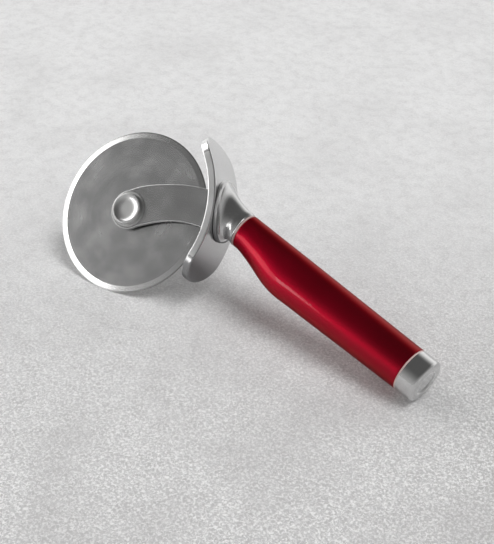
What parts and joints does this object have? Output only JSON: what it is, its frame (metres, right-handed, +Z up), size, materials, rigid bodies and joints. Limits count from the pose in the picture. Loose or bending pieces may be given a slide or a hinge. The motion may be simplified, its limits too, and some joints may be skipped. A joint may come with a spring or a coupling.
{
  "type": "pastry cutter wheel",
  "caption": "Hand-held pastry and pizza cutter: bevelled steel wheel turning on a fork, curved finger guard, flared neck, red tapering handle and metal end cap.",
  "frame": {"origin": "bottom centre of the bounding box of the tool as it lies on a table on its blade's rim and its end cap", "axes": "+Z up from the table; +X horizontal, along the handle from the wheel towards the end cap; the blade leans, with its open face towards -Y and up"},
  "size_m": [0.2282, 0.0758, 0.0746],
  "materials": {
    "blade_steel": "fine circular satin grain, ground bright bevel",
    "satin_steel": "satin stainless steel with bright edges",
    "polished_steel": "polished stainless steel",
    "bush_polymer": "low-friction moulded plastic",
    "red_gloss": "deep red gloss with a clear coat",
    "core_polymer": "moulded filler, hidden",
    "seal_rubber": "thin pale seam ring",
    "plain_steel": "plain machined steel, hidden"
  },
  "bodies": {
    "frame": {"near_rivet": "polished_steel", "far_rivet": "polished_steel", "near_washer": "polished_steel", "far_washer": "polished_steel", "near_spacer": "plain_steel", "far_spacer": "plain_steel", "near_arm": "satin_steel", "far_arm": "satin_steel", "guard": "satin_steel", "collar": "satin_steel", "neck": "satin_steel", "tang": "plain_steel", "front_seal": "seal_rubber", "handle_shell": "red_gloss", "handle_core": "core_polymer", "tang_washer": "plain_steel", "tang_nut": "plain_steel", "back_seal": "seal_rubber", "end_cap": "satin_steel", "cap_plug": "core_polymer"},
    "wheel": {"wheel_blade": "blade_steel", "wheel_bush": "bush_polymer"}
  },
  "joints": [
    {"name": "wheel_spin", "type": "hinge", "parent": "frame", "child": "wheel", "pos_m": [-0.07064, -0.0077, 0.0328], "axis": [-0.1536, 0.7283, -0.6679], "continuous": true}
  ]
}
